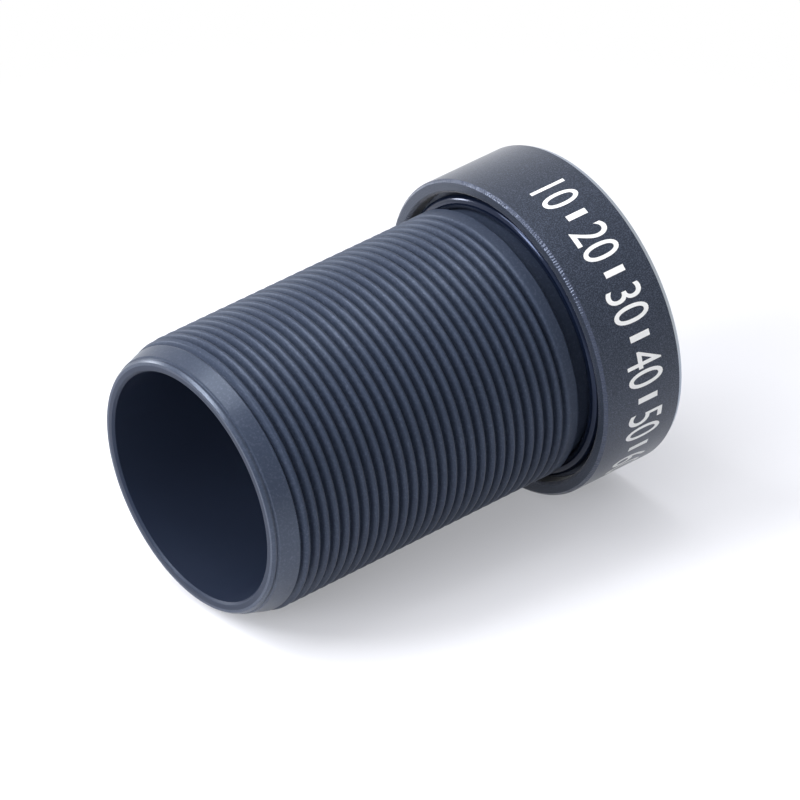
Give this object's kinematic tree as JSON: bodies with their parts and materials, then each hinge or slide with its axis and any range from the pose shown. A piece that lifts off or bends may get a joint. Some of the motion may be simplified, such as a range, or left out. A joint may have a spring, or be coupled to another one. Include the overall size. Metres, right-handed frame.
{
  "type": "m12 board camera lens",
  "caption": "Fixed-focus board camera lens in a black anodised barrel with a fine outside thread, a round head and a sealing ring that seats on the lens holder.",
  "frame": {"origin": "centre of the head's front face, on the optical axis", "axes": "+Z along the optical axis from the front of the lens to the sensor end, +X through a spanner notch of both threaded rings"},
  "size_m": [0.014, 0.014, 0.02],
  "materials": {
    "barrel_aluminium": "turned, black anodised",
    "head_aluminium": "bead blasted, black anodised",
    "ring_aluminium": "matt black anodised",
    "seal_rubber": "smooth black nitrile",
    "front_glass": "polished and coated",
    "crown_glass": "polished and coated",
    "flint_glass": "polished and coated",
    "filter_glass": "infrared-cut coated"
  },
  "bodies": {
    "root": {"barrel": "barrel_aluminium", "head_ring": "head_aluminium", "o_ring": "seal_rubber", "front_retaining_ring": "ring_aluminium", "front_lens": "front_glass", "crown_lens": "crown_glass", "flint_lens": "flint_glass", "front_spacer": "ring_aluminium", "aperture_stop": "ring_aluminium", "rear_spacer": "ring_aluminium", "biconcave_lens": "flint_glass", "thin_spacer": "ring_aluminium", "rear_lens": "crown_glass", "rear_retaining_ring": "ring_aluminium", "infrared_filter": "filter_glass"}
  },
  "joints": []
}
